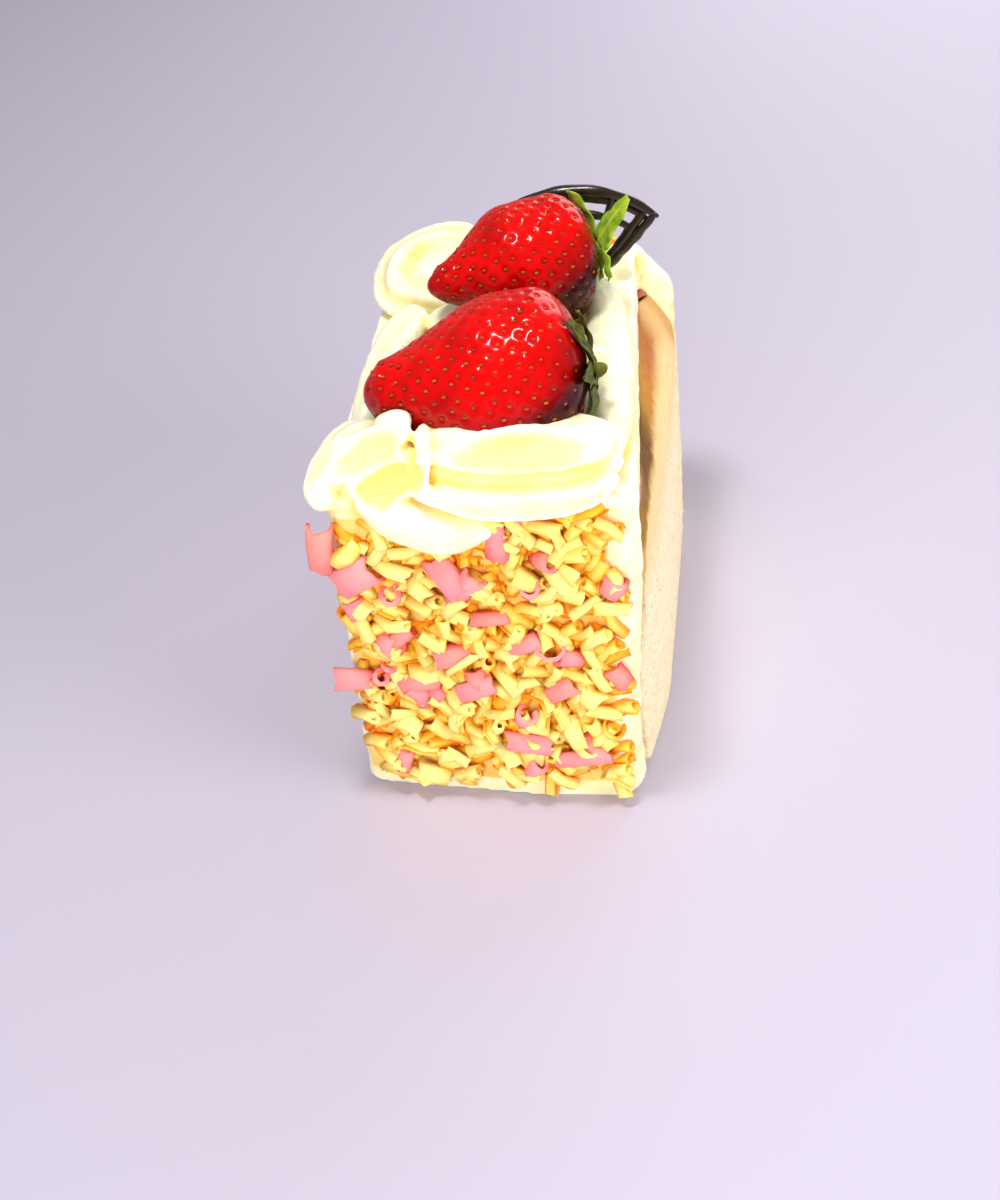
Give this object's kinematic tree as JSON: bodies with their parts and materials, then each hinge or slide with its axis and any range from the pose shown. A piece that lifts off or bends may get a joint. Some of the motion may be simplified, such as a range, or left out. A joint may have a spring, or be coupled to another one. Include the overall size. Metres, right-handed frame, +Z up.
{
  "type": "strawberry sponge gateau slice",
  "caption": "Tall upright slice of sponge cake with jam and piped cream on top, chocolate curls on both coated ends, whole strawberries and a chocolate fan.",
  "frame": {"origin": "middle of the flat underside of the slice", "axes": "+Z up, -Y out of the coated end that the picture shows, +X out of the cut face that the picture shows"},
  "size_m": [0.0684, 0.1154, 0.1065],
  "materials": {
    "sponge": "matte, open crumb",
    "jam": "glossy, set",
    "cream": "satin, whipped",
    "chocolate_curls": "satin, yellow and pink shavings on cream",
    "strawberry": "glossy skin with seeds in dimples",
    "leaf": "matte",
    "dark_chocolate": "satin, piped"
  },
  "bodies": {
    "root": {"sponge": "sponge", "jam": "jam", "cream_top": "cream", "coat_front": "chocolate_curls", "coat_back": "chocolate_curls", "strawberry_front": "strawberry", "strawberry_back": "strawberry", "calyx_front": "leaf", "calyx_back": "leaf", "chocolate_fan": "dark_chocolate"}
  },
  "joints": []
}
